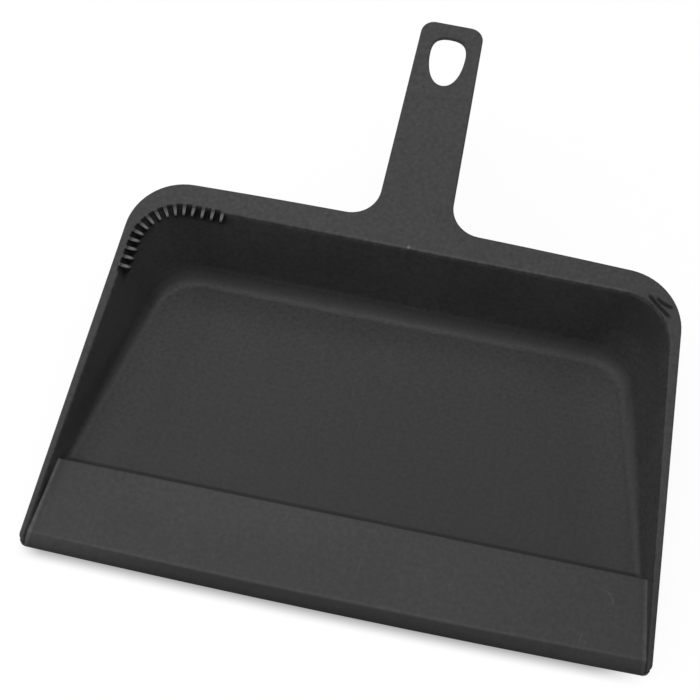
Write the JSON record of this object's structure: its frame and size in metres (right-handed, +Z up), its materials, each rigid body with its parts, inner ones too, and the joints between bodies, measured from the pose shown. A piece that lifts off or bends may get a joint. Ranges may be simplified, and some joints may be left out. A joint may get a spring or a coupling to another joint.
{
  "type": "dust pan",
  "caption": "Moulded plastic dust pan: open drafted tray, raised sweep ramp at the lip, flat rim running on into a handle with a hang hole, and a corner comb for cleaning bristles.",
  "frame": {"origin": "on the ground under the middle of the whole pan, halfway between the lip and the end of the handle", "axes": "+Z up from the ground, +Y from the lip towards the end of the handle, +X to the right as seen by someone facing the open lip"},
  "size_m": [0.3106, 0.324, 0.0881],
  "materials": {
    "black_plastic": "satin moulded polypropylene"
  },
  "bodies": {
    "root": {"pan_tray": "black_plastic", "sweep_ramp": "black_plastic", "rim": "black_plastic", "handle": "black_plastic", "bristle_comb": "black_plastic"}
  },
  "joints": []
}
